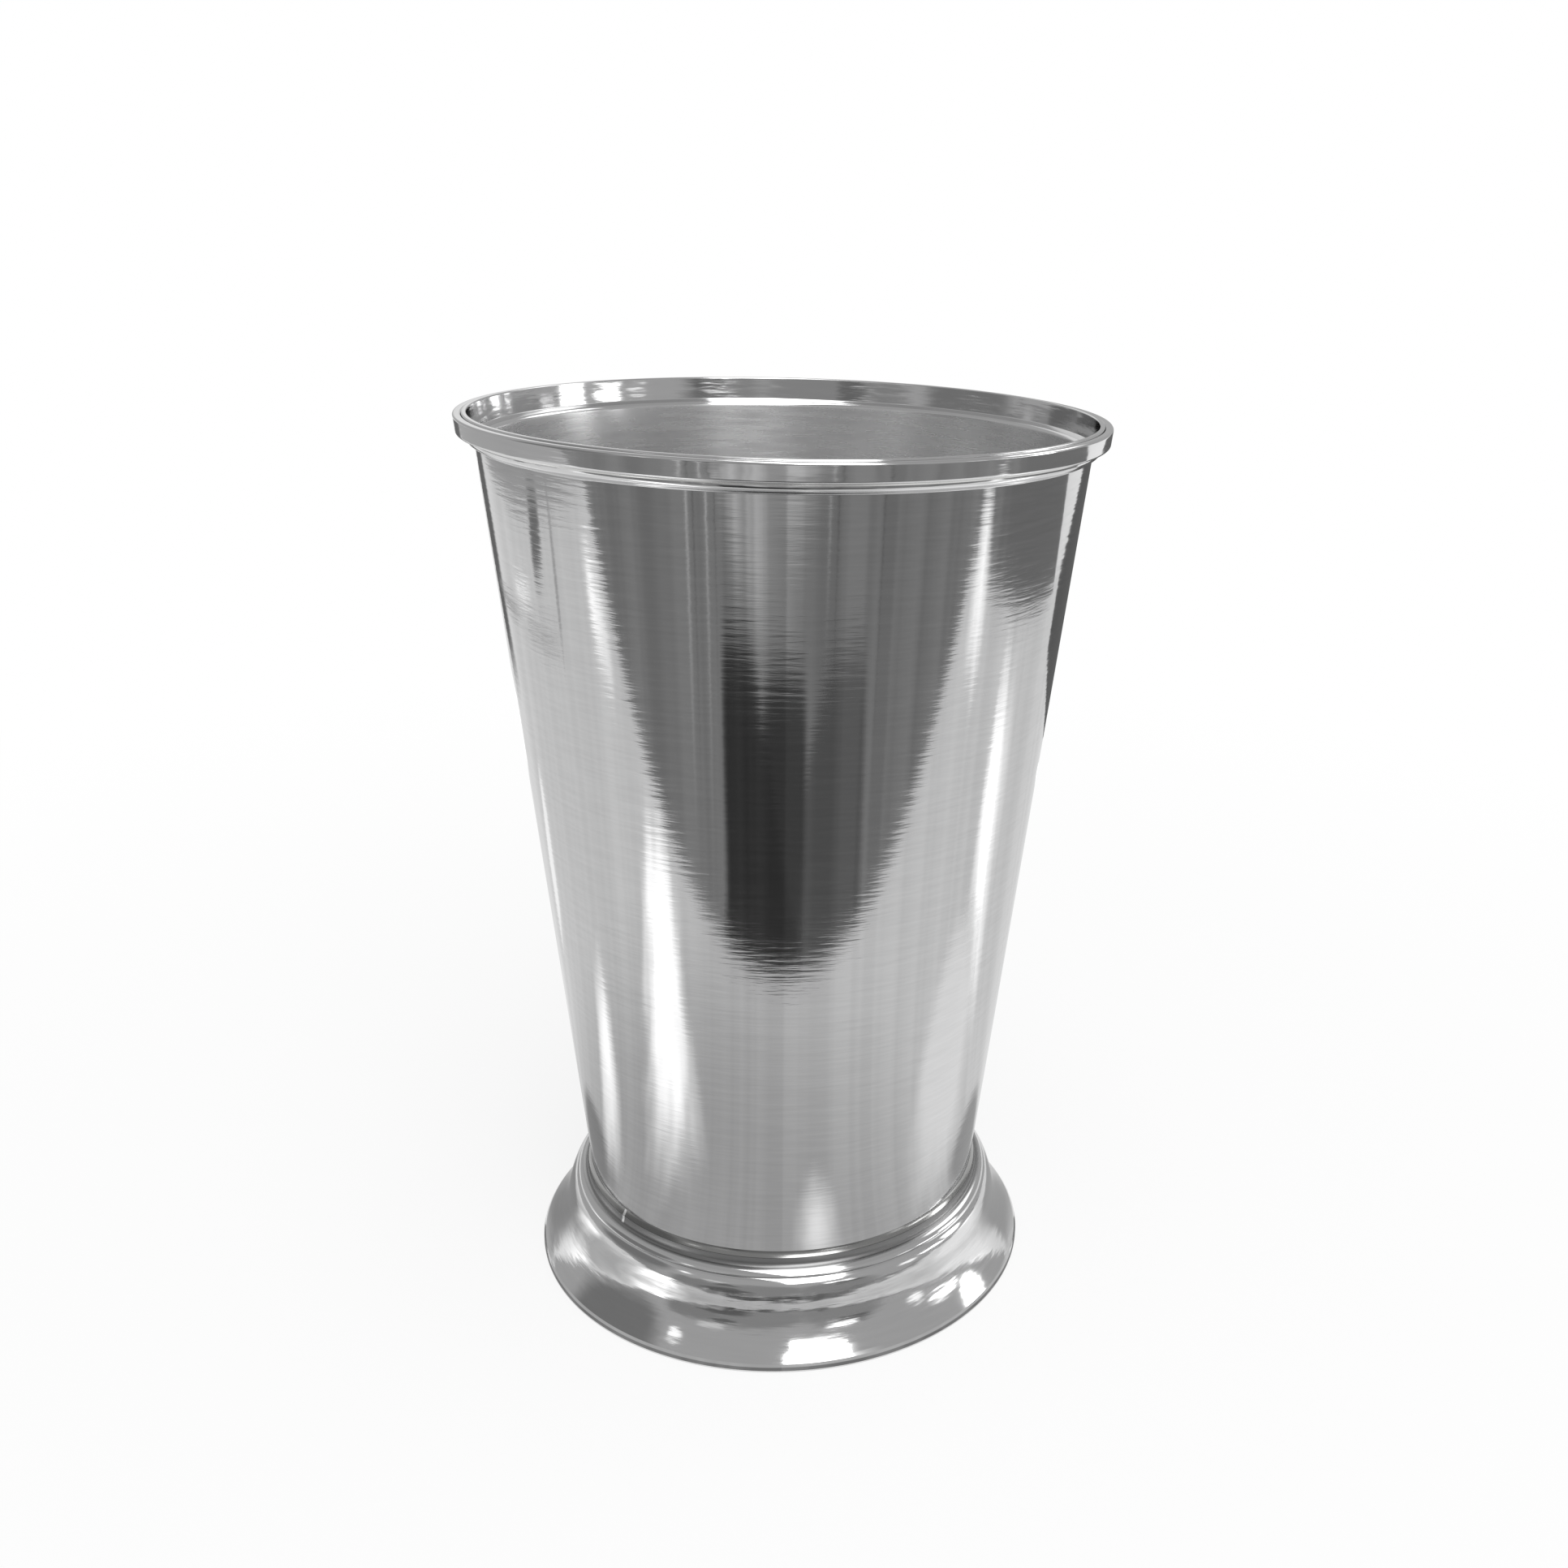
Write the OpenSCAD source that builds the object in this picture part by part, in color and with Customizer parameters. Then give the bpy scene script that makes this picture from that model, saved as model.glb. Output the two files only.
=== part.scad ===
// Julep cup: a tapered sheet-metal beaker with a banded rim and a moulded, hollow foot.
// Every piece is a body of revolution about Z. The hem of the foot stands on z = 0.
// An outline is a list of [radius, height, corner radius] that profile() turns into points.

/* [Cup] */
// Height of the cup, table to lip
cup_h = 114.3; // [100:0.1:130]
// Outside diameter of the wall just under the rim
body_top_d = 74; // [68:0.1:80]
// Outside diameter of the wall where it enters the collar
body_base_d = 53.2; // [49:0.1:57]
// Thickness of the wall sheet
wall_t = 0.6; // [0.4:0.05:0.9]
// Gap that the solder runs into wherever two pieces seat on each other
joint_gap = 0.05; // [0.02:0.01:0.1]

/* [Rim] */
// Height of the lip above its shoulder
lip_h = 3.2; // [2.8:0.1:5]
// Distance that the lip stands out from the line of the wall
lip_setout = 0.9; // [0.7:0.05:1.3]
// Height that the shoulder under the lip takes
shoulder_h = 0.5; // [0.3:0.05:0.9]
// Inside radius of the bends at the shoulder
bend_r = 0.15; // [0.05:0.05:0.25]
// Radius on the two edges of the lip
lip_edge_r = 0.18; // [0.08:0.01:0.19]
// Thickness of the band
band_t = 1; // [0.8:0.05:1.6]
// Height of the band
band_h = 2.2; // [1.6:0.1:2.5]
// Distance that the band stops below the top of the lip
band_drop = 0.15; // [0:0.05:0.3]
// Radius on the long edges of the band
band_edge_r = 0.3; // [0.1:0.05:0.38]

/* [Floor] */
// Thickness of the floor disc
floor_t = 0.8; // [0.5:0.1:1.2]
// Height of the floor's top face above the top of the foot ring
floor_lift = 1; // [0.6:0.1:3]
// Radius on the upper edge of the floor disc
floor_edge_r = 0.2; // [0.1:0.05:0.3]

/* [Collar] */
// Height of the collar
collar_h = 1.9; // [1.8:0.05:2.6]
// Thickness of the collar's neck
neck_t = 0.45; // [0.35:0.05:0.5]
// Width of the collar at its base, out from the wall
collar_w = 2.2; // [2.1:0.05:2.4]
// Radius of the collar's rounded shoulder
bead_r = 1.2; // [1.1:0.05:1.25]
// Height of the rounded shoulder above the collar's base
bead_rise = 0.8; // [0.7:0.05:0.9]
// Radius of the groove between shoulder and neck
groove_r = 0.3; // [0.2:0.05:0.35]

/* [Foot ring] */
// Height of the foot ring's flat top
foot_h = 10.25; // [9.8:0.05:11]
// Thickness of the foot's sheet
foot_t = 0.8; // [0.6:0.05:1]
// Height of the upright hem
hem_h = 0.7; // [0.5:0.05:1.3]
// Width of the flat top, out from the wall
top_w = 2.2; // [2.1:0.05:2.6]
// Width that the roll gains from the flat top to the waist
waist_w = 1.45; // [1.3:0.05:1.7]
// Drop from the flat top to the waist
waist_drop = 3.25; // [2.9:0.05:3.6]
// Width that the flare gains from the waist to the hem
flare_w = 3.6; // [3.2:0.05:4]
// Lean of the roll off the vertical where it leaves the flat top, in degrees
roll_lean = 58; // [50:70]
// Lean of the waist off the vertical, in degrees
waist_lean = 14; // [8:18]
// Lean of the flare off the vertical where it meets the hem, in degrees
flare_lean = 39; // [36:45]
// Radius on the edge of the flat top
edge_r = 0.1; // [0.05:0.01:0.12]
// Radius between the flare and the hem
hem_r = 0.25; // [0.1:0.05:0.3]
// Length of wall left below the foot ring's flange
wall_tail = 1.3; // [1.1:0.1:2]

/* [Solder] */
// Leg of the seam under the band
rim_leg = 0.3; // [0.2:0.05:0.4]
// Height of the seam above the collar's neck
collar_rise = 0.7; // [0.3:0.05:1]
// Leg of the seams inside the foot and under the floor
foot_leg = 0.9; // [0.5:0.1:1]

/* [Hidden] */
// Facets round the axis, and round a moulding's own section
turn_fn = 180;
section_fn = 96;
// Points on a rounded corner, and along a curve of the foot
corner_steps = 6;
curve_steps = 12;
// Height of the shoulder's inside above its outside, as a share of the wall's thickness
rise_share = 0.5;
// Overrun of a cutting shape past what it cuts
over = 1;

steel = [0.74, 0.74, 0.75];
bright = [0.86, 0.86, 0.87];
solder = [0.8, 0.8, 0.78];

// Heights that the pieces share
lip_z = cup_h - lip_h;
shoulder_z = lip_z - shoulder_h;
band_top_z = cup_h - band_drop;
band_z = band_top_z - band_h;
collar_z = foot_h + joint_gap;
neck_z = collar_z + collar_h;
floor_top_z = foot_h + floor_lift;
floor_z = floor_top_z - floor_t;
flange_z = foot_h - foot_t;
wall_z = flange_z - wall_tail;

// Radii of the tapered surfaces at a height
taper_share = (body_top_d - body_base_d) / 2 / (shoulder_z - neck_z);
function wall_r(z) = body_base_d / 2 + (z - neck_z) * taper_share;
function bore_r(z) = wall_r(z) - wall_t;
function lip_r(z) = wall_r(z) + lip_setout;
function seat_r(z) = wall_r(z) + joint_gap;
function neck_r(z) = seat_r(z) + neck_t;

// Centres of the collar's two round sections: the groove runs tangent into the shoulder
bead_at = [wall_r(collar_z) + collar_w - sqrt(pow(bead_r, 2) - pow(bead_r - bead_rise, 2)),
           collar_z + bead_rise - bead_r];
groove_x = neck_r(bead_at.y + bead_r) + groove_r;
groove_at = [groove_x, bead_at.y + sqrt(pow(bead_r + groove_r, 2) - pow(bead_at.x - groove_x, 2))];

function unit(v) = v / norm(v);

// Points of the arc that rounds corner b between a and c
function corner(a, b, c, r) =
    r == 0 ? [b] :
    let (u = unit(a - b), v = unit(c - b), half = acos(u * v) / 2,
         centre = b + unit(u + v) * r / sin(half),
         start = b + u * r / tan(half) - centre,
         end = b + v * r / tan(half) - centre,
         sweep = 180 - 2 * half)
    [for (i = [0 : corner_steps])
        let (t = i / corner_steps)
        centre + (start * sin((1 - t) * sweep) + end * sin(t * sweep)) / sin(sweep)];

// Points of a closed outline given as [radius, height, corner radius]
function profile(list) =
    let (n = len(list), at = [for (p = list) [p.x, p.y]])
    [for (i = [0 : n - 1])
        each corner(at[(i + n - 1) % n], at[i], at[(i + 1) % n], list[i].z)];

// Direction that runs down and out, at an angle off the vertical
function down(lean) = [sin(lean), -cos(lean)];

// Points between a and b on a curve that leaves a at one lean and reaches b at another
function curve(a, lean_a, b, lean_b) =
    let (p = down(lean_a), q = down(lean_b), mid = a + p * cross(b - a, q) / cross(p, q))
    [for (i = [1 : curve_steps - 1])
        let (t = i / curve_steps, v = a * pow(1 - t, 2) + mid * 2 * t * (1 - t) + b * pow(t, 2))
        [v.x, v.y, 0]];

module revolve() {
    rotate_extrude($fn = turn_fn) children();
}

// Seam of triangular section at height z, against the surface that stands off the wall's line
module seam(offset, z, leg, rise) {
    r = wall_r(z) + offset;
    color(solder) revolve()
        polygon([[r, z], [r + leg, z], [wall_r(z + rise) + offset, z + rise]]);
}

// Tapered sheet wall with its shoulder and lip
module body_wall() {
    rise = wall_t * rise_share;
    color(steel) revolve()
        polygon(profile([
            [wall_r(wall_z), wall_z, 0],
            [wall_r(shoulder_z), shoulder_z, bend_r],
            [lip_r(lip_z), lip_z, bend_r + wall_t],
            [lip_r(cup_h), cup_h, lip_edge_r],
            [lip_r(cup_h) - wall_t, cup_h, lip_edge_r],
            [lip_r(lip_z) - wall_t, lip_z + rise, bend_r],
            [bore_r(shoulder_z), shoulder_z + rise, bend_r + wall_t],
            [bore_r(wall_z), wall_z, 0]]));
}

// Floor let into the lower end of the wall
module floor_disc() {
    color(steel) revolve()
        polygon(profile([
            [0, floor_z, 0],
            [bore_r(floor_z) - joint_gap, floor_z, 0],
            [bore_r(floor_top_z) - joint_gap, floor_top_z, floor_edge_r],
            [0, floor_top_z, 0]]));
}

// Flat hoop round the lip
module rim_band() {
    inner = lip_setout + joint_gap;
    outer = inner + band_t;
    color(bright) revolve()
        polygon(profile([
            [wall_r(band_z) + inner, band_z, 0],
            [wall_r(band_z) + outer, band_z, band_edge_r],
            [wall_r(band_top_z) + outer, band_top_z, band_edge_r],
            [wall_r(band_top_z) + inner, band_top_z, band_edge_r]]));
}

// Space inside the seat that the collar and the foot ring fit round
module core() {
    top = neck_z + over;
    polygon([[0, -over], [seat_r(-over), -over], [seat_r(top), top], [0, top]]);
}

// Turned ring round the wall: rounded shoulder below, groove above it, and a thin neck
module foot_collar() {
    color(bright) revolve()
        difference() {
            union() {
                translate(bead_at) circle(r = bead_r, $fn = section_fn);
                polygon([
                    [0, bead_at.y], bead_at, groove_at,
                    [neck_r(groove_at.y), groove_at.y], [neck_r(neck_z), neck_z], [0, neck_z]]);
            }
            translate(groove_at) circle(r = groove_r, $fn = section_fn);
            square([bead_at.x + bead_r, collar_z]);
            core();
        }
}

// Outer line of the foot ring, from inside the wall to below the table
function foot_line() =
    let (start = [wall_r(foot_h) - 2 * foot_t, foot_h], brim = [wall_r(foot_h) + top_w, foot_h],
         waist = brim + [waist_w, -waist_drop], hem = [waist.x + flare_w, hem_h])
    concat(
        [[start.x, start.y, 0], [brim.x, brim.y, edge_r]],
        curve(brim, roll_lean, waist, waist_lean),
        [[waist.x, waist.y, 0]],
        curve(waist, waist_lean, hem, flare_lean),
        [[hem.x, hem.y, hem_r], [hem.x, -foot_t - over, 0]]);

// Spun foot: flat top, roll, waist, flare and upright hem
module foot_ring() {
    line = foot_line();
    start = line[0];
    end = line[len(line) - 1];
    points = profile(concat(line, [[start.x, end.y, 0]]));
    color(bright) revolve()
        difference() {
            polygon(points);
            translate([-foot_t, -foot_t]) polygon(points);
            translate([0, -foot_t - 2 * over]) square([end.x, foot_t + 2 * over]);
            core();
        }
}

// Seam that fills the corner under the rim band
module rim_solder() {
    seam(lip_setout + joint_gap, band_z - joint_gap, rim_leg, -rim_leg);
}

// Seam on top of the collar's neck
module collar_solder() {
    seam(joint_gap, neck_z + joint_gap, neck_t, collar_rise);
}

// Seam under the foot ring's flange
module foot_solder() {
    seam(joint_gap, flange_z - joint_gap, foot_leg, -foot_leg);
}

// Seam under the floor
module floor_solder() {
    seam(-wall_t - joint_gap, floor_z - joint_gap, -foot_leg, -foot_leg);
}

body_wall();
floor_disc();
rim_band();
foot_collar();
foot_ring();
rim_solder();
collar_solder();
foot_solder();
floor_solder();
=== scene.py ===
import math

import bpy
from mathutils import Matrix, Vector


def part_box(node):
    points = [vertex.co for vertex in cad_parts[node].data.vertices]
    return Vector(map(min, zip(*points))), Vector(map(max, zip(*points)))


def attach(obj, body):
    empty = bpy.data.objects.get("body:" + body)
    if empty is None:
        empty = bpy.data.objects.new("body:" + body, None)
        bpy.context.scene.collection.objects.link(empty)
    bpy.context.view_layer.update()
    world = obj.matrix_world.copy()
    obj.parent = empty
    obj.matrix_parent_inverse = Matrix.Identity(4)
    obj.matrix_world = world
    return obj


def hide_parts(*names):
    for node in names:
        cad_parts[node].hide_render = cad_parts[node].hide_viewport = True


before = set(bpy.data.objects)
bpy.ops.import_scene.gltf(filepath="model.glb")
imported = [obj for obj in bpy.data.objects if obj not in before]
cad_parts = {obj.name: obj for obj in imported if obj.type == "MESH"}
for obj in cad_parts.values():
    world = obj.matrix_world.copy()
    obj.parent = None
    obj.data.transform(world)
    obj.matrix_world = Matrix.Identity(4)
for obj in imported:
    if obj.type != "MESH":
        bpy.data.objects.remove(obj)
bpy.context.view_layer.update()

# Camera. It stands a little above the rim and looks down at the cup, as for a catalogue picture, from a
# hand's length away. Its place was worked out from the ellipses of the rim, the collar and the foot.
frame_px = 1932
focal_px = 2002.13
centre_px = (1119.87, 965.74)
camera_at = Vector((0, -0.200742, 0.138865))
pitch, yaw, roll = 0.345229, 0.0806261, -0.0340886

ahead = Vector((math.sin(yaw) * math.cos(pitch), math.cos(yaw) * math.cos(pitch), -math.sin(pitch)))
level = Vector((math.cos(yaw), -math.sin(yaw), 0))
down = ahead.cross(level)
right = level * math.cos(roll) + down * math.sin(roll)
up = level * math.sin(roll) - down * math.cos(roll)

lens = bpy.data.cameras.new("camera")
lens.sensor_width = 36
lens.lens = focal_px / frame_px * lens.sensor_width
lens.shift_x = (frame_px / 2 - centre_px[0]) / frame_px
lens.shift_y = (centre_px[1] - frame_px / 2) / frame_px
lens.clip_start = 0.005
camera = bpy.data.objects.new("camera", lens)
camera.matrix_world = Matrix.Translation(camera_at) @ Matrix((right, up, -ahead)).transposed().to_4x4()
bpy.context.scene.collection.objects.link(camera)
bpy.context.scene.camera = camera
bpy.context.scene.view_settings.view_transform = "Standard"

# Cup wall. One tapered piece of thin stainless sheet, drawn and then brushed round and round on a lathe,
# with a duller satin inside; its top is rolled out over a small shoulder into a lip, which is polished. The
# floor and the foot are soldered to its lower end.
MM = 0.001
facets = 384
arc_points = 8
arc_margin_share = 0.25
sharp_degrees = 32

wall_low, wall_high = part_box("body_wall")
cup_height = wall_high.z / MM
lip_outer = wall_high.x / MM
wall_end = wall_low.z / MM
sheet = 0.6
wall_top_d, wall_base_d = 74.0, 53.2
lip_height = 3.2
lip_setout = 0.9
lip_edge = 0.18
shoulder_height = 0.5
shoulder_rise = 0.3
bend = 0.15
lip_line = cup_height - lip_height
shoulder_line = lip_line - shoulder_height
polish_line = shoulder_line + 0.1
base_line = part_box("foot_collar")[1].z / MM
taper = (wall_top_d - wall_base_d) / 2 / (shoulder_line - base_line)

noise_low, noise_high = 0.3, 0.7
sideways_rate = 150
cloud_rate = 60
wave_rate = 600
line_height = 0.00002
fine_share = 0.15
cloud_share = 0.06


def wall_radius(height):
    return lip_outer - lip_setout + (height - cup_height) * taper


def rounded(corners):
    """Points of an outline of (radius, height, corner radius), with one more beside each end of an arc."""
    points = []
    for i, (x, z, r) in enumerate(corners):
        here = Vector((x, z))
        if r == 0:
            points.append(here)
            continue
        before = (Vector(corners[i - 1][:2]) - here).normalized()
        after = (Vector(corners[(i + 1) % len(corners)][:2]) - here).normalized()
        half = before.angle(after) / 2
        centre = here + (before + after).normalized() * r / math.sin(half)
        start = here + before * r / math.tan(half) - centre
        end = here + after * r / math.tan(half) - centre
        sweep = start.angle(end)
        points.append(centre + start + before * r * arc_margin_share)
        for k in range(arc_points + 1):
            t = k / arc_points
            spoke = start * math.sin((1 - t) * sweep) + end * math.sin(t * sweep)
            points.append(centre + spoke / math.sin(sweep))
        points.append(centre + end + after * r * arc_margin_share)
    return points


def turned(name, points, node, slot, *materials, pick=None):
    """A ring of quads from a closed outline in millimetres, standing for a node of the frame."""
    mesh = bpy.data.meshes.new(name)
    verts, faces = [], []
    n = len(points)
    for k in range(facets):
        c, s = math.cos(2 * math.pi * k / facets), math.sin(2 * math.pi * k / facets)
        verts += [(p.x * c * MM, p.x * s * MM, p.y * MM) for p in points]
    for k in range(facets):
        a, b = k * n, (k + 1) % facets * n
        faces += [(a + i, b + i, b + (i + 1) % n, a + (i + 1) % n) for i in range(n)]
    mesh.from_pydata(verts, [], faces)
    mesh.shade_smooth()
    mesh.set_sharp_from_angle(angle=math.radians(sharp_degrees))
    for material in materials:
        mesh.materials.append(material)
    if pick:
        for face in mesh.polygons:
            face.material_index = pick(face)
    piece = bpy.data.objects.new(name, mesh)
    bpy.context.scene.collection.objects.link(piece)
    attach(piece, "root")
    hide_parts(node)


def joined(nodes, link, kind, operation, *inputs):
    """A math node of a kind and operation, with a number or a socket for each of its inputs."""
    step = nodes.new(kind)
    step.operation = operation
    for socket, value in zip(step.inputs, inputs):
        if isinstance(value, bpy.types.NodeSocket):
            link(value, socket)
        else:
            socket.default_value = value
    return step.outputs["Value" if operation in ("LENGTH", "DISTANCE") else 0]


def steel(name, colour, roughness, anisotropy, lines, depth, spread, waves=None, mirror=1.0):
    """Metal worked round the axis: fine lines that follow the turn, each a little rougher or paler than
    the next. Lines is about how many lie in a metre of height, depth how strong they are, and spread the
    share by which their colour changes. Waves is the height, in metres, of the shallow waves that
    polishing leaves."""
    material = bpy.data.materials.new(name)
    material.use_nodes = True
    nodes, link = material.node_tree.nodes, material.node_tree.links.new
    shader = nodes["Principled BSDF"]
    shader.inputs["Metallic"].default_value = mirror
    shader.inputs["Anisotropic"].default_value = anisotropy
    shader.inputs["Anisotropic Rotation"].default_value = 0.25
    tangent = nodes.new("ShaderNodeTangent")
    tangent.direction_type = "RADIAL"
    tangent.axis = "Z"
    link(tangent.outputs[0], shader.inputs["Tangent"])
    place = nodes.new("ShaderNodeTexCoord")

    def noise(sideways, upwards, detail):
        """Noise that changes about so many times in a metre, sideways and upwards."""
        stretch = nodes.new("ShaderNodeMapping")
        stretch.inputs["Scale"].default_value = (sideways, sideways, upwards)
        link(place.outputs["Object"], stretch.inputs["Vector"])
        texture = nodes.new("ShaderNodeTexNoise")
        texture.inputs["Scale"].default_value = 1
        texture.inputs["Detail"].default_value = detail
        link(stretch.outputs[0], texture.inputs["Vector"])
        return texture.outputs["Fac"]

    def band(value, low, high):
        """The middle of a noise's range, spread out from low to high."""
        ramp = nodes.new("ShaderNodeMapRange")
        ramp.inputs["From Min"].default_value = noise_low
        ramp.inputs["From Max"].default_value = noise_high
        ramp.inputs["To Min"].default_value = low
        ramp.inputs["To Max"].default_value = high
        link(value, ramp.inputs["Value"])
        return ramp.outputs[0]

    def raised(height, strength, distance, under=None):
        """The surface with a texture raised on it, over another such surface."""
        bump = nodes.new("ShaderNodeBump")
        bump.inputs["Strength"].default_value = strength
        bump.inputs["Distance"].default_value = distance
        link(height, bump.inputs["Height"])
        if under:
            link(under, bump.inputs["Normal"])
        return bump.outputs[0]

    fine = noise(sideways_rate, lines, detail=3)
    cloud = noise(cloud_rate, cloud_rate, detail=2)
    mixed = nodes.new("ShaderNodeMix")
    mixed.data_type = "RGBA"
    mixed.inputs["A"].default_value = (*[c * (1 - spread) for c in colour], 1)
    mixed.inputs["B"].default_value = (*colour, 1)
    link(band(fine, 0, 1), mixed.inputs["Factor"])
    link(mixed.outputs["Result"], shader.inputs["Base Color"])
    by_line = band(fine, roughness * (1 - fine_share), roughness * (1 + fine_share))
    by_cloud = band(cloud, -roughness * cloud_share, roughness * cloud_share)
    link(joined(nodes, link, "ShaderNodeMath", "ADD", by_line, by_cloud), shader.inputs["Roughness"])
    wave = raised(noise(sideways_rate, wave_rate, detail=2), 1, waves) if waves else None
    link(raised(fine, depth, line_height, wave), shader.inputs["Normal"])
    return material


brushed = steel("brushed_steel", (0.62, 0.62, 0.622), 0.08, 0.6, lines=1900, depth=0.75, spread=0.07)
polished = steel("polished_steel", (0.72, 0.72, 0.722), 0.09, 0.3, lines=2000, depth=0.55, spread=0.03,
                 waves=0.00004)
satin = steel("satin_steel", (0.64, 0.64, 0.642), 0.26, 0.5, lines=1800, depth=0.4, spread=0.08, mirror=0.8)


def finish_of(face):
    """Which of the wall's three finishes a face has: brushed outside, polished on the lip, satin inside."""
    height = face.center.z / MM
    if height > polish_line:
        return 1
    reach = math.hypot(face.center.x, face.center.y) / MM
    return 2 if reach < wall_radius(height) - sheet / 2 else 0


wall_outline = rounded([
    (wall_radius(wall_end), wall_end, 0),
    (wall_radius(shoulder_line), shoulder_line, bend),
    (wall_radius(lip_line) + lip_setout, lip_line, bend + sheet),
    (lip_outer, cup_height, lip_edge),
    (lip_outer - sheet, cup_height, lip_edge),
    (wall_radius(lip_line) + lip_setout - sheet, lip_line + shoulder_rise, bend),
    (wall_radius(shoulder_line) - sheet, shoulder_line + shoulder_rise, bend + sheet),
    (wall_radius(wall_end) - sheet, wall_end, 0),
])
turned("cup_wall", wall_outline, "body_wall", "brushed_steel", brushed, polished, satin, pick=finish_of)

# Floor. A flat disc of stainless sheet with the satin of the wall's inside, let into the lower end of the
# wall and soldered from below.
floor_low, floor_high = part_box("floor_disc")
floor_bottom, floor_top = floor_low.z / MM, floor_high.z / MM
floor_outer = floor_high.x / MM
floor_edge = 0.2
floor_centre = 0.001
floor_outline = rounded([
    (floor_centre, floor_bottom, 0),
    (floor_outer - (floor_top - floor_bottom) * taper, floor_bottom, 0),
    (floor_outer, floor_top, floor_edge),
    (floor_centre, floor_top, 0),
])
turned("cup_floor", floor_outline, "floor_disc", "brushed_steel", satin)

# Rim band. A flat hoop of polished strip, closed round the lip and soldered along its lower edge. Its edges
# are eased, apart from the one that the solder covers.
band_low, band_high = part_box("rim_band")
band_bottom, band_top = band_low.z / MM, band_high.z / MM
band_outer = band_high.x / MM
band_thick = 1.0
band_edge = 0.3
band_draft = (band_top - band_bottom) * taper
band_outline = rounded([
    (band_outer - band_thick - band_draft, band_bottom, 0),
    (band_outer - band_draft, band_bottom, band_edge),
    (band_outer, band_top, band_edge),
    (band_outer - band_thick, band_top, band_edge),
])
turned("rim_band", band_outline, "rim_band", "polished_steel", polished)

# Foot collar. A ring of polished metal round the bottom of the wall: a rounded shoulder that turns up in a
# hollow to a thin neck. The hollow is painted darker and rougher from the top of the shoulder upwards, as
# painted shade, and the ring's closed joint shows as a bright line across it.
collar_low, collar_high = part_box("foot_collar")
collar_bottom, collar_top = collar_low.z / MM, collar_high.z / MM
collar_outer = collar_high.x / MM
joint_gap = 0.05
neck_thick = 0.45
bead_radius = 1.2
bead_rise = 0.8
bead_top = collar_bottom + bead_rise
bead_end = 84
hollow_setout = 0.03
hollow_share = 0.1
# Painted shade in the hollow: the collar is painted darker and rougher from just below the top of the
# shoulder upwards.
hollow_shade_start = bead_top - 0.16
hollow_shade_full = bead_top + 0.06
hollow_shade_grey = 0.27
hollow_shade_roughness = 0.32
joint_at = -140
joint_half_width = 0.5
joint_start = bead_top + 0.2


def neck_radius(height):
    return wall_radius(height) + joint_gap + neck_thick


def arc(centre, radius, first, last, steps=24):
    """Points on an arc, from its first angle to its last, in degrees above the horizontal."""
    turn = [math.radians(first + (last - first) * k / steps) for k in range(steps + 1)]
    return [centre + Vector((math.cos(a), math.sin(a))) * radius for a in turn]


def swept(start, pull, end, steps=16):
    """Points between start and end on the curve that leaves start for pull and comes to end from it."""
    shares = [k / steps for k in range(1, steps)]
    return [start * (1 - t) ** 2 + pull * 2 * t * (1 - t) + end * t ** 2 for t in shares]


def faded(nodes, link, value, first, last, start, end):
    """A number eased from start, where the value is first, to end, where it is last."""
    ease = nodes.new("ShaderNodeMapRange")
    ease.interpolation_type = "SMOOTHSTEP"
    for name, limit in (("From Min", first), ("From Max", last), ("To Min", start), ("To Max", end)):
        ease.inputs[name].default_value = limit
    link(value, ease.inputs["Value"])
    return ease.outputs[0]


def paint_hollow_shade(material, first, last):
    """Paints shade on a material, darker and rougher, from none at one height to all of it at another."""
    nodes, link = material.node_tree.nodes, material.node_tree.links.new
    shader = nodes["Principled BSDF"]
    place = nodes.new("ShaderNodeSeparateXYZ")
    link(nodes["Texture Coordinate"].outputs["Object"], place.inputs[0])
    amount = faded(nodes, link, place.outputs["Z"], first * MM, last * MM, 0, 1)
    for socket, value in (("Base Color", hollow_shade_grey), ("Roughness", hollow_shade_roughness)):
        clean = shader.inputs[socket].links[0].from_socket
        shade_mix = nodes.new("ShaderNodeMix")
        shade_mix.data_type = "RGBA"
        shade_mix.inputs["B"].default_value = (value, value, value, 1)
        link(amount, shade_mix.inputs["Factor"])
        link(clean, shade_mix.inputs["A"])
        link(shade_mix.outputs["Result"], shader.inputs[socket])


def on_joint(face):
    """One for the narrow strip of solder that closes the collar's joint, and nought for the rest."""
    bearing = math.degrees(math.atan2(face.center.y, face.center.x))
    return int(abs(bearing - joint_at) < joint_half_width and face.center.z > joint_start * MM)


bead_reach = math.sqrt(bead_radius ** 2 - (bead_radius - bead_rise) ** 2)
bead_start = math.degrees(math.asin((bead_radius - bead_rise) / bead_radius))
bead_centre = Vector((collar_outer - bead_reach, bead_top - bead_radius))
bead = arc(bead_centre, bead_radius, bead_start, bead_end)
neck_top = Vector((neck_radius(collar_top), collar_top))
hollow = Vector((neck_top.x + hollow_setout, bead[-1].y + (bead[-1].x - neck_top.x) * hollow_share))
collar_outline = [
    Vector((wall_radius(collar_bottom) + joint_gap, collar_bottom)),
    *bead,
    *swept(bead[-1], hollow, neck_top),
    neck_top,
    Vector((wall_radius(collar_top) + joint_gap, collar_top)),
]
collar_steel = steel("collar_steel", (0.72, 0.72, 0.722), 0.09, 0.3, lines=2200, depth=0.2, spread=0.03,
                     waves=0.000015)
# Painted shade in the collar's hollow and on its neck.
paint_hollow_shade(collar_steel, hollow_shade_start, hollow_shade_full)
bright_joint = steel("bright_joint", (0.95, 0.95, 0.95), 0.35, 0, lines=3000, depth=0.05, spread=0.05)
turned("foot_collar", collar_outline, "foot_collar", "polished_steel", collar_steel, bright_joint,
       pick=on_joint)

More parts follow.
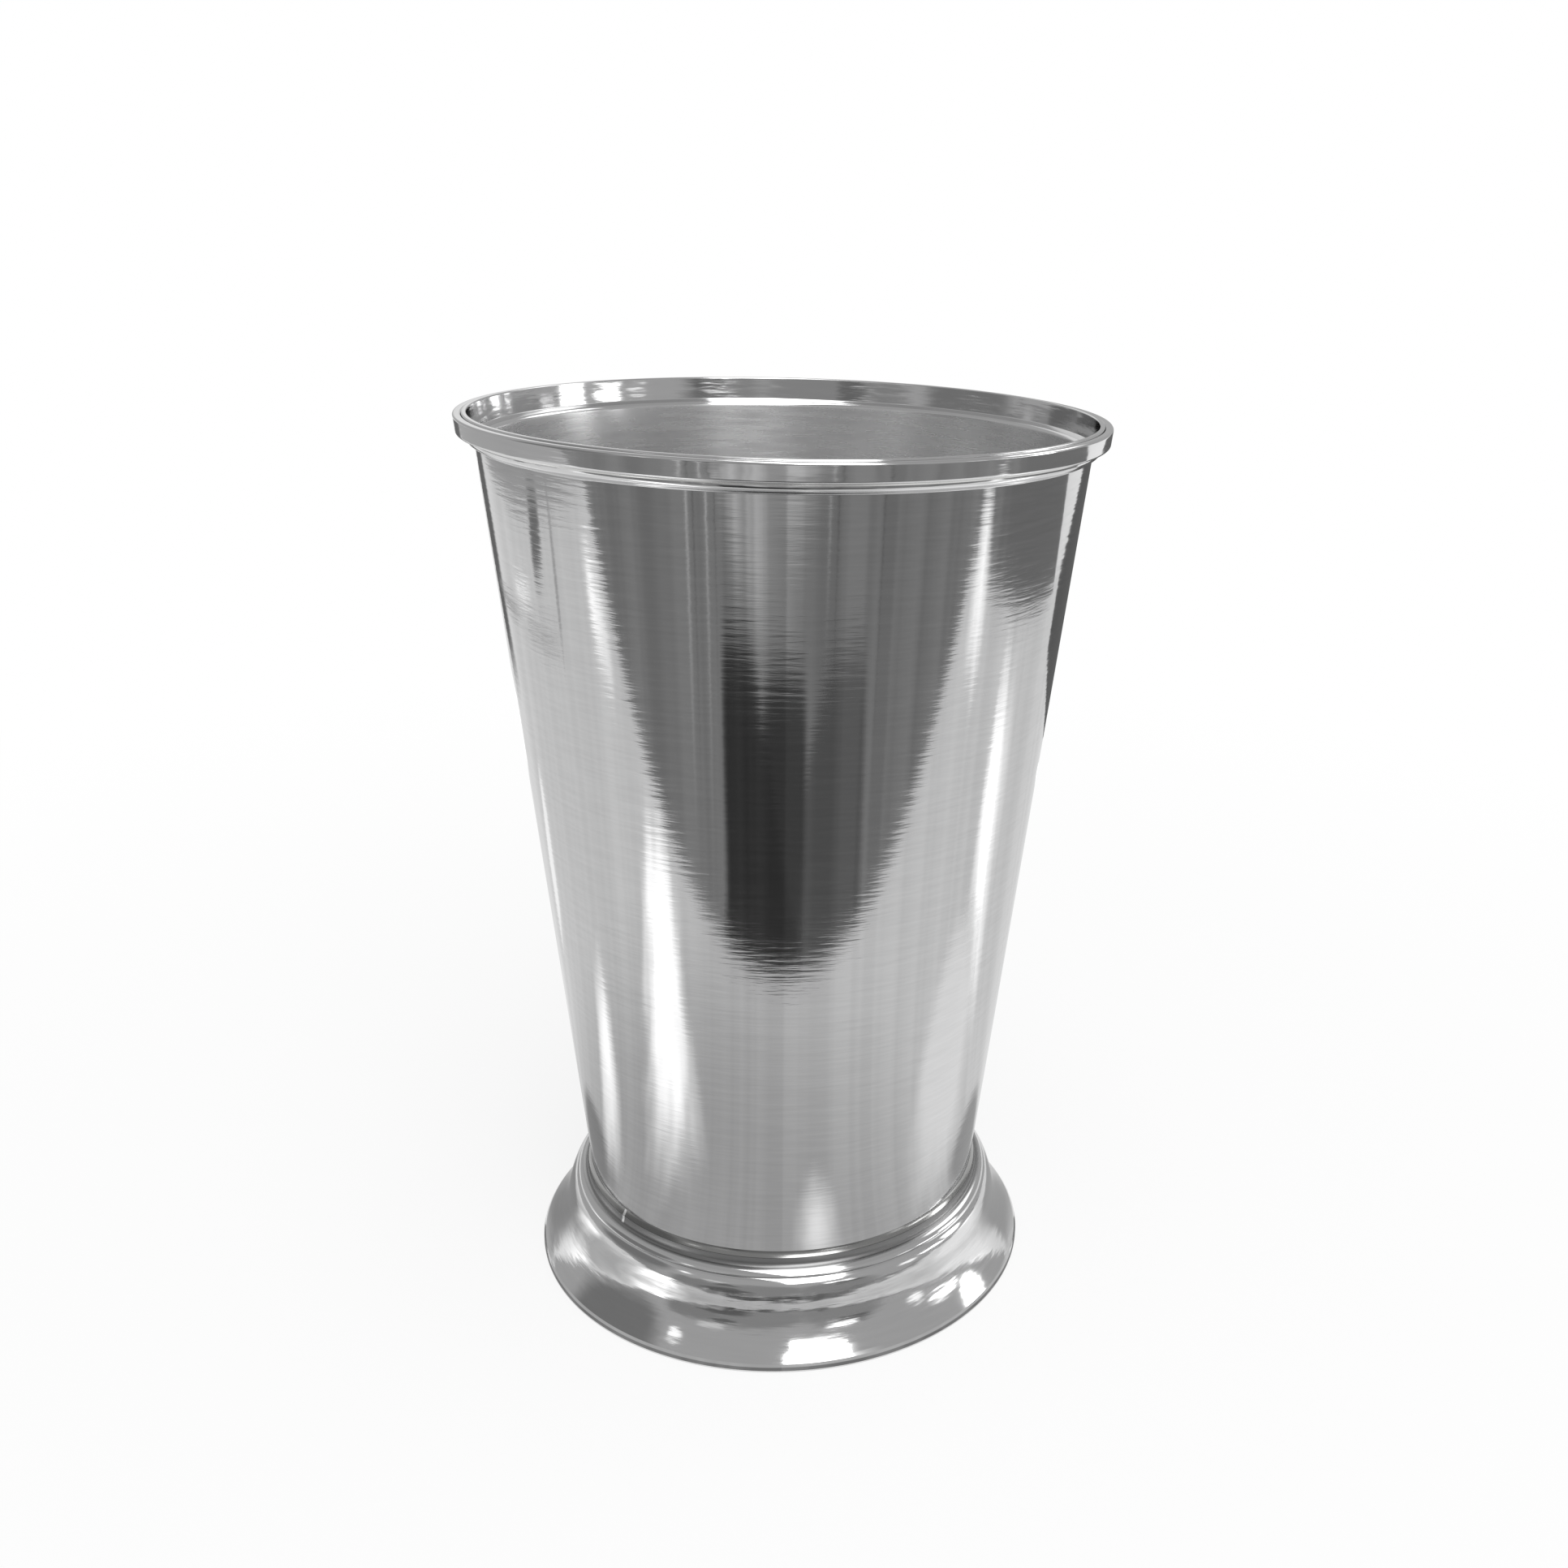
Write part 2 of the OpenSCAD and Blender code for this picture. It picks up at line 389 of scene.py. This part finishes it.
# Foot ring. A hollow foot spun from one sheet and polished: a flat top under the collar, a roll that falls
# to a waist, a flare, and an upright hem whose cut edge stands on the table.
foot_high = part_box("foot_ring")[1]
foot_height, foot_outer = foot_high.z / MM, foot_high.x / MM
foot_sheet = 0.8
foot_edge = 0.1
brim_setout = 2.2
waist_setout, waist_drop = 1.45, 3.25
hem_height = 0.7
hem_edge = 0.25
roll_lean, waist_lean, flare_lean = 58, 14, 39
brim = Vector((wall_radius(foot_height) + brim_setout, foot_height))
waist = brim + Vector((waist_setout, -waist_drop))
hem = Vector((foot_outer, hem_height))


def falling(start, lean, end, end_lean):
    """Corners of a curve that leaves start at one lean off the upright and reaches end at another."""
    away, home = [Vector((math.sin(math.radians(a)), -math.cos(math.radians(a)))) for a in (lean, end_lean)]
    pull = start + away * ((end - start).cross(home) / away.cross(home))
    return [(p.x, p.y, 0) for p in swept(start, pull, end)]


foot_face = [
    (brim.x, brim.y, foot_edge),
    *falling(brim, roll_lean, waist, waist_lean),
    (waist.x, waist.y, 0),
    *falling(waist, waist_lean, hem, flare_lean),
    (hem.x, hem.y, hem_edge),
]
foot_back = [(x - foot_sheet, z - foot_sheet, r) for x, z, r in reversed(foot_face) if z > foot_sheet]
foot_bore = wall_radius(foot_height) + joint_gap
foot_outline = rounded([
    (foot_bore, foot_height, 0),
    *foot_face,
    (foot_outer, 0, 0),
    (foot_outer - foot_sheet, 0, 0),
    *foot_back,
    (foot_bore - foot_sheet * taper, foot_height - foot_sheet, 0),
])
turned("foot_ring", foot_outline, "foot_ring", "polished_steel", polished)

# Solder seams. Soft solder, run in with a torch where two pieces meet: under the rim band, on top of the
# collar's neck, where it is painted darker as shade, inside the foot under its flange, and under the floor.
dish_share = 0.15
rim_leg = 0.3
neck_rise = 0.7
inner_leg = 0.9
neck_gap = joint_gap / 4
solder = steel("solder", (0.66, 0.66, 0.65), 0.14, 0, lines=3000, depth=0.05, spread=0.05, waves=0.00003)
# The solder on the collar's neck is painted darker: painted shade that goes on from the hollow.
solder_painted_shade = steel("solder_painted_shade", (0.38, 0.38, 0.375), 0.16, 0, lines=3000, depth=0.05, spread=0.05)


def seam(name, setout, height, leg, rise, *materials, pick=None):
    """A dished fillet in a corner set out from the wall at a height. Its leg runs outwards, its rise up."""
    corner = Vector((wall_radius(height) + setout, height))
    start = corner + Vector((leg, 0))
    end = Vector((wall_radius(height + rise) + setout, height + rise))
    pull = (start + end) / 2 * (1 - dish_share) + corner * dish_share
    outline = [corner, start, *swept(start, pull, end, steps=6), end]
    turned(name, outline, name, "solder", *materials, pick=pick)


seam("rim_solder", lip_setout + joint_gap, band_bottom - joint_gap, rim_leg, -rim_leg, solder)
seam("collar_solder", neck_gap, collar_top + joint_gap, neck_thick + joint_gap - neck_gap, neck_rise,
     solder_painted_shade, bright_joint, pick=on_joint)
seam("foot_solder", joint_gap, foot_height - foot_sheet - joint_gap, inner_leg, -inner_leg, solder)
seam("floor_solder", -sheet - joint_gap, floor_bottom - joint_gap, -inner_leg, -inner_leg, solder)

# Floor and backdrop. A sheet of white card under the cup, in front of a white room. The camera, the metal
# and clear things see both as white or nearly so, and beside the cup its soft shadow stays.
floor_half = 6
glow_start, glow_full = 0.03, 0.30
glow_beside_cup = 0.80


def seen_straight(nodes, link):
    """One for the camera, a reflection and a view through something clear, and nought for the rest."""
    path = nodes.new("ShaderNodeLightPath").outputs
    total = joined(nodes, link, "ShaderNodeMath", "ADD", path["Is Camera Ray"], path["Is Glossy Ray"])
    either = joined(nodes, link, "ShaderNodeMath", "ADD", total, path["Is Transmission Ray"])
    either.node.use_clamp = True
    return either


def overlaid(nodes, link, share, under, over):
    """One shader laid over another by a share, which is nought where only the lower one shows."""
    blend = nodes.new("ShaderNodeMixShader")
    for source, socket in zip((share, under, over), blend.inputs):
        link(source, socket)
    return blend.outputs[0]


def level_square(half, height):
    return [(-half, -half, height), (half, -half, height), (half, half, height), (-half, half, height)]


def flat_card(name, corners, material):
    mesh = bpy.data.meshes.new(name)
    mesh.from_pydata(corners, [], [tuple(range(len(corners)))])
    mesh.materials.append(material)
    piece = bpy.data.objects.new(name, mesh)
    bpy.context.scene.collection.objects.link(piece)
    return piece


paper = bpy.data.materials.new("white_card")
paper.use_nodes = True
nodes, link = paper.node_tree.nodes, paper.node_tree.links.new
matt = nodes["Principled BSDF"]
matt.inputs["Base Color"].default_value = (0.9, 0.9, 0.9, 1)
matt.inputs["Roughness"].default_value = 1
matt.inputs["Specular IOR Level"].default_value = 0
glow = nodes.new("ShaderNodeEmission")
glow.inputs["Strength"].default_value = 1
place = nodes.new("ShaderNodeTexCoord")
reach = joined(nodes, link, "ShaderNodeVectorMath", "LENGTH", place.outputs["Object"])
away = faded(nodes, link, reach, glow_start, glow_full, glow_beside_cup, 1)
share = joined(nodes, link, "ShaderNodeMath", "MULTIPLY", seen_straight(nodes, link), away)
whitened = overlaid(nodes, link, share, matt.outputs[0], glow.outputs[0])
link(whitened, nodes["Material Output"].inputs["Surface"])
flat_card("floor", level_square(floor_half, 0), paper)

world = bpy.data.worlds.new("room")
bpy.context.scene.world = world
world.use_nodes = True
nodes, link = world.node_tree.nodes, world.node_tree.links.new
fill = nodes["Background"]
fill.inputs["Color"].default_value = (0.6, 0.6, 0.6, 1)
backdrop = nodes.new("ShaderNodeBackground")
backdrop.inputs["Color"].default_value = (1, 1, 1, 1)
share = seen_straight(nodes, link)
whitened = overlaid(nodes, link, share, fill.outputs[0], backdrop.outputs[0])
link(whitened, nodes["World Output"].inputs["Surface"])

# Cards. Polished metal is lit by what stands round it: grey card from the front edge of the table onwards,
# darker pieces in front of the lens and at the sides, and small pools of lamplight. They glow by themselves
# and show in the metal alone.
layer_step = 0.0002
ray_layer = 3
# The painted shadow of the cup on the table cards: it is centred a little to the front left and fades out
# between these distances.
cup_shadow_middle = (-0.02, -0.03, 0)
cup_shadow_start, cup_shadow_end = 0.02, 0.10
streak_rate = 5
streak_low, streak_high = 0.35, 0.65
ragged_rate = 3
patch_foot = 0.009
room_cards = 24
ceiling_half, ceiling_height = 2, 1.4


def card(name, shade, corners, near=None, soft=None, core=0.55, streaks=None, square=False):
    """A card of one shade, with its corners in metres. With near it fades to that shade at the cup, a
    painted shadow of the cup. With soft it is an oval, or an oblong if square, whose edge is ragged, each
    card's in its own way, and blurred from its core outwards. Streaks is the share by which its shade
    changes from one bearing to the next."""
    material = bpy.data.materials.new(name)
    material.use_nodes = True
    nodes, link = material.node_tree.nodes, material.node_tree.links.new
    nodes.remove(nodes["Principled BSDF"])
    tone = nodes.new("ShaderNodeEmission")
    tone.inputs["Color"].default_value = (shade, shade, shade, 1)
    surface = nodes["Material Output"].inputs["Surface"]
    link(tone.outputs[0], surface)
    place = nodes.new("ShaderNodeTexCoord")
    if near is not None:
        reach = joined(nodes, link, "ShaderNodeVectorMath", "DISTANCE",
                       place.outputs["Object"], cup_shadow_middle)
        link(faded(nodes, link, reach, cup_shadow_start, cup_shadow_end, near, shade), tone.inputs["Color"])
    if streaks is not None:
        apart = nodes.new("ShaderNodeSeparateXYZ")
        link(place.outputs["Object"], apart.inputs[0])
        bearing = joined(nodes, link, "ShaderNodeMath", "ARCTAN2", apart.outputs["X"], apart.outputs["Y"])
        grain = nodes.new("ShaderNodeTexNoise")
        grain.noise_dimensions = "1D"
        grain.inputs["Scale"].default_value = streak_rate
        grain.inputs["Detail"].default_value = 3
        grain.inputs["Roughness"].default_value = 0.6
        link(bearing, grain.inputs["W"])
        paler = faded(nodes, link, grain.outputs["Fac"], streak_low, streak_high, 1 - streaks, 1 + streaks)
        link(paler, tone.inputs["Strength"])
    if soft is not None:
        middle = joined(nodes, link, "ShaderNodeVectorMath", "MULTIPLY_ADD",
                        place.outputs["UV"], (2, 2, 0), (-1, -1, 0))
        if square:
            middle = joined(nodes, link, "ShaderNodeVectorMath", "MULTIPLY", middle, middle)
        reach = joined(nodes, link, "ShaderNodeVectorMath", "LENGTH", middle)
        grain = nodes.new("ShaderNodeTexNoise")
        grain.noise_dimensions = "4D"
        grain.inputs["W"].default_value = len(bpy.data.materials)
        grain.inputs["Scale"].default_value = ragged_rate
        link(place.outputs["UV"], grain.inputs["Vector"])
        ragged = joined(nodes, link, "ShaderNodeMath", "MULTIPLY_ADD",
                        grain.outputs["Fac"], 2 * soft, reach)
        inside = faded(nodes, link, ragged, core + soft, 1 + soft, 1, 0)
        clear = nodes.new("ShaderNodeBsdfTransparent")
        link(overlaid(nodes, link, inside, clear.outputs[0], tone.outputs[0]), surface)
    material.cycles.emission_sampling = "NONE"
    piece = flat_card(name, corners, material)
    spread = piece.data.uv_layers.new(name="spread")
    for corner, mark in zip(spread.uv, ((0, 0), (1, 0), (1, 1), (0, 1))):
        corner.vector = mark
    piece.visible_camera = False
    piece.visible_diffuse = False
    piece.visible_shadow = False


def round_cup(azimuth, distance, height=0):
    """A place beside the cup. Azimuth is in degrees from the camera's side, towards the camera's right."""
    turn = math.radians(azimuth)
    return Vector((math.sin(turn) * distance, -math.cos(turn) * distance, height))


def laid(name, shade, layer, *outline, **look):
    """A card on the table. Its layer, which may be a fraction, says what it lies over and under."""
    card(name, shade, [(x, y, layer * layer_step) for x, y in outline], **look)


def pool(name, shade, x, y, long, wide, turn, soft=0.3, layer=7, **look):
    """A soft spot on the table, given by its middle, half its length and width, and its turn in degrees."""
    along = Vector((math.cos(math.radians(turn)), math.sin(math.radians(turn)))) * long
    across = Vector((-along.y, along.x)).normalized() * wide
    middle = Vector((x, y))
    outline = [middle + along * a + across * b for a, b in ((-1, -1), (1, -1), (1, 1), (-1, 1))]
    laid(name, shade, layer, *outline, soft=soft, **look)


def ray(name, shade, azimuth, width, start=0.11, end=1.4):
    """A soft strip on the table that runs straight away from the cup, so many degrees wide to each side."""
    ends = ((-width, start), (width, start), (width, end), (-width, end))
    laid(name, shade, ray_layer, *[round_cup(azimuth + side, reach).xy for side, reach in ends], soft=0.2)


def patch(name, shade, *corners, distance=1.0, soft=0.3):
    """An upright card, given by the azimuth and elevation of its corners, seen from the foot of the cup."""
    points = [round_cup(azimuth, distance, patch_foot + math.tan(math.radians(elevation)) * distance)
              for azimuth, elevation in corners]
    card(name, shade, points, soft=soft)


laid("table_front", 0.25, 1, (-5, -5), (5, -5), (5, 0), (-5, 0), streaks=0.14)
laid("table_lit", 0.48, 2, (-0.34, -0.6), (0.26, -0.6), (0.08, -0.18), (-0.075, -0.18),
     soft=0.1, streaks=0.25)
laid("lens_shadow_edge", 0.13, 2.5, (-0.044, -0.050), (0.036, -0.050), (0.124, -0.210), (0.044, -0.210),
     soft=0.05, streaks=0.15, square=True)
laid("lens_shadow_right", 0.06, 3.6, (-0.060, -0.050), (0.006, -0.050), (0.036, -0.218), (-0.030, -0.218),
     soft=0.1, streaks=0.15, square=True)
laid("lens_shadow", 0.045, 4, (-0.023, -0.050), (0.038, -0.050), (-0.042, -0.224), (-0.103, -0.224),
     soft=0.05, streaks=0.15, square=True)
ray("streak_left_1", 0.75, -36, 2.2)
ray("streak_left_2", 0.06, -33, 1.2)
ray("streak_left_3", 0.75, -29, 2.0)
ray("streak_left_4", 0.04, -25.5, 1.2)
ray("streak_right_1", 0.75, 14, 1.5, start=0.17)
ray("streak_right_2", 0.05, 17, 1.2, start=0.16)
ray("streak_right_3", 0.05, 32.8, 1.2, start=0.08)
# The table card is darker round the cup: a painted shadow of the cup, seen in the metal.
laid("table_top", 0.82, 5, (-0.36, -0.097), (0.28, -0.097), (0.28, 0.6), (-0.36, 0.6),
     near=0.50, streaks=0.05)
laid("table_far_left", 0.45, 5, (-5, -0.097), (-0.36, -0.097), (-0.36, 0.9), (-5, 0.9))
laid("table_right", 0.20, 6, (0.28, -0.01), (1.5, -0.2), (1.5, 0.9), (0.27, 0.20))
laid("table_back", 0.13, 6, (0.01, 0.27), (0.09, 0.205), (0.21, 0.185), (0.27, 0.24), (0.75, 1.4),
     (0.01, 1.4))
laid("table_back_left", 0.15, 6, (-0.175, 0.17), (-0.115, 0.19), (-0.32, 0.85), (-0.52, 0.80),
     soft=0.1, square=True)
pool("shade_beside_right", 0.40, 0.041, 0.010, 0.019, 0.010, 70, 0.1, layer=6)
pool("shade_beside_left", 0.30, -0.041, 0.010, 0.019, 0.010, -70, 0.1, layer=6)
pool("pool_front", 1.2, 0.0098, -0.0400, 0.0125, 0.0080, -76, 0.2, core=0)
pool("pool_left", 2.3, -0.079, -0.061, 0.062, 0.022, 37, 0.6, core=0.1)
pool("pool_beside", 1.7, -0.070, -0.001, 0.038, 0.010, 174, 0.3, core=0.1)
pool("pool_left_long", 1.25, -0.113, 0.090, 0.050, 0.010, -38)
pool("pool_right", 2.1, 0.160, 0.017, 0.110, 0.020, 7, 0.5, core=0.1)
pool("pool_right_wide", 1.2, 0.175, 0.034, 0.075, 0.028, 14, layer=6, core=0)
pool("pool_right_near", 1.05, 0.075, -0.012, 0.045, 0.022, 10)
pool("pool_far_right", 1.8, 0.285, -0.073, 0.100, 0.024, -13, 0.6, core=0.1)
pool("pool_far_left", 1.8, -0.250, -0.070, 0.065, 0.016, -4, 0.6, core=0.1)
pool("pool_back_left", 1.5, -0.065, 0.25, 0.09, 0.040, 62)
pool("pool_back", 1.5, 0.065, 0.187, 0.030, 0.010, -20)
pool("shade_left", 0.20, -0.335, 0.082, 0.050, 0.026, 0)
pool("frame_left_near", 0.45, -0.300, 0.020, 0.080, 0.005, -2)
pool("frame_left_side", 0.45, -0.248, 0.085, 0.080, 0.006, 92)
pool("frame_left_far", 0.40, -0.222, 0.240, 0.110, 0.008, 72)
pool("frame_left_glint", 1.5, -0.270, 0.150, 0.050, 0.008, 80)

step = 360 / room_cards
for k in range(room_cards):
    patch(f"room_{k}", 0.44, (k * step, 0), (k * step + step, 0), (k * step + step, 45), (k * step, 45),
          distance=1.5, soft=None)
patch("back_wall", 0.85, (172, 1), (214, 1), (214, 44), (172, 44), distance=1.45, soft=0.1)
card("ceiling", 0.40, level_square(ceiling_half, ceiling_height))
patch("dim_left", 0.26, (-60, -6), (-25, -6), (-22, 15), (-56, 15), distance=1.2)
patch("dim_middle", 0.29, (-32, -7), (14, -7), (16, 20), (-34, 20), distance=1.22)
patch("dim_right", 0.29, (2, -7), (52, -7), (48, 19), (4, 19), distance=1.24)
patch("dark_left", 0.12, (-44, -3), (-12, -2), (-10, 6), (-40, 6), distance=1.1)
patch("dark_upper", 0.14, (-36, 8), (-20, 9), (-17, 16), (-33, 16), distance=1.12)
patch("dark_right", 0.14, (24, 9), (44, 8), (42, 15), (26, 17), distance=1.14)
patch("softbox_edge", 1.0, (3, 21), (38, 21), (45, 50), (-2, 50), distance=1.1)
patch("black_screen", 0.21, (-106, -6), (-52, -6), (-52, 38), (-106, 32), distance=0.9)
patch("glint_left", 1.5, (-54, 20), (-45, 20), (-45, 27), (-54, 27))
patch("glint_near_left", 0.75, (-40, 13), (-24, 15), (-24, 20), (-40, 18))
patch("glint_right", 2.2, (18, 15), (37, 13), (37, 17), (18, 20))
patch("glint_low", 1.4, (58, 5), (70, 3), (70, 10), (58, 12))
patch("window_near", 4.5, (69, 10), (90, 2), (90, 6.5), (69, 15), soft=0.2)
patch("window", 5.0, (88, 2), (104, 2), (100, 21), (86, 23))
patch("window_high", 2.2, (95, 24), (150, 20), (150, 48), (95, 50), soft=0.3)

# Lamp. One large softbox hangs in front of the cup, to the right of the lens and above it, and is aimed at
# the lower half of the cup.
lamp_aim = Vector((0, 0, 0.02))
lamp_azimuth, lamp_elevation = 17, 60
lamp_distance = 0.9
lamp = bpy.data.lights.new("softbox", "AREA")
lamp.shape = "RECTANGLE"
lamp.size, lamp.size_y = 0.46, 1.22
lamp.energy = 5
softbox = bpy.data.objects.new("softbox", lamp)
tilt = math.radians(lamp_elevation)
toward = round_cup(lamp_azimuth, math.cos(tilt), math.sin(tilt))
facing = toward.to_track_quat("Z", "Y").to_matrix().to_4x4()
softbox.matrix_world = Matrix.Translation(lamp_aim + toward * lamp_distance) @ facing
bpy.context.scene.collection.objects.link(softbox)
